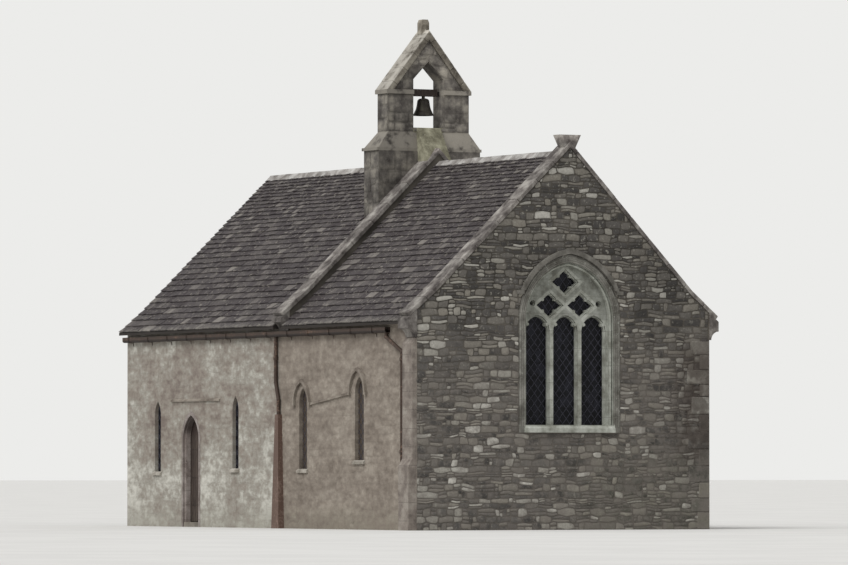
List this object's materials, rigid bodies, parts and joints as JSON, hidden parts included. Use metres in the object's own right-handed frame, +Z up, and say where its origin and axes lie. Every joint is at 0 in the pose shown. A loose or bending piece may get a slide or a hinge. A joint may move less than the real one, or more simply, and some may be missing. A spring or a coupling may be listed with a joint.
{
  "type": "chapel",
  "caption": "Small stone chapel: nave and chancel under slate roofs, bellcote with a swinging bell, traceried east window, hinged south door; rests on its walls.",
  "frame": {"origin": "middle of the bounding box's underside, at ground level", "axes": "+X east towards the chancel gable, +Y north, +Z up"},
  "size_m": [13.12, 7, 10.4102],
  "materials": {
    "limewashed_stone": "worn limewash over rubble",
    "rubble_stone": "lichened rubble",
    "floor_stone": "worn flags",
    "stone_slate": "weathered stone slates",
    "dressed_stone": "weathered ashlar",
    "window_glass": "dark leaded glass",
    "cast_iron": "rusty paint",
    "oak": "weathered oak",
    "bell_metal": "dull bell metal"
  },
  "bodies": {
    "chapel": {"nave_south_wall_west": "limewashed_stone", "nave_south_wall_east": "limewashed_stone", "nave_wall_over_door": "limewashed_stone", "nave_north_wall": "limewashed_stone", "chancel_south_wall": "limewashed_stone", "chancel_north_wall": "limewashed_stone", "west_gable_wall": "rubble_stone", "east_gable_wall": "rubble_stone", "chancel_arch_south_pier": "rubble_stone", "chancel_arch_north_pier": "rubble_stone", "cross_wall_over_arch": "rubble_stone", "bellcote_base": "rubble_stone", "bellcote_sill": "rubble_stone", "bellcote_piers": "rubble_stone", "bellcote_head": "rubble_stone", "stone_floor": "floor_stone", "nave_roof_south": "stone_slate", "nave_roof_north": "stone_slate", "chancel_roof_south": "stone_slate", "chancel_roof_north": "stone_slate", "ridge_stones": "dressed_stone", "east_gable_coping": "dressed_stone", "middle_gable_coping": "dressed_stone", "gable_kneelers": "dressed_stone", "gable_cross_stump": "dressed_stone", "east_window_surround": "dressed_stone", "east_window_hood": "dressed_stone", "east_window_tracery": "dressed_stone", "lancet_sills": "dressed_stone", "hood_moulds": "dressed_stone", "nave_string_course": "dressed_stone", "corner_pilaster": "dressed_stone", "doorway_surround": "dressed_stone", "bellcote_coping": "dressed_stone", "bellcote_finial": "dressed_stone", "east_window_glass": "window_glass", "lancet_glass": "window_glass", "gutters": "cast_iron", "downpipes": "cast_iron", "junction_pipe_casing": "cast_iron", "bell_bearings": "cast_iron", "door_pintles": "cast_iron"},
    "door": {"door_leaf": "oak", "door_ironwork": "cast_iron"},
    "bell": {"bell": "bell_metal", "bell_headstock": "oak", "bell_clapper": "cast_iron"}
  },
  "joints": [
    {"name": "door_hinge", "type": "hinge", "parent": "chapel", "child": "door", "pos_m": [-3.822, -3.08, 0], "axis": [0, 0, 1], "range_deg": [0, 90]},
    {"name": "bell_swing", "type": "hinge", "parent": "chapel", "child": "bell", "pos_m": [0.375, 0.12, 8.9], "axis": [0, 1, 0], "range_deg": [-35, 35]}
  ]
}
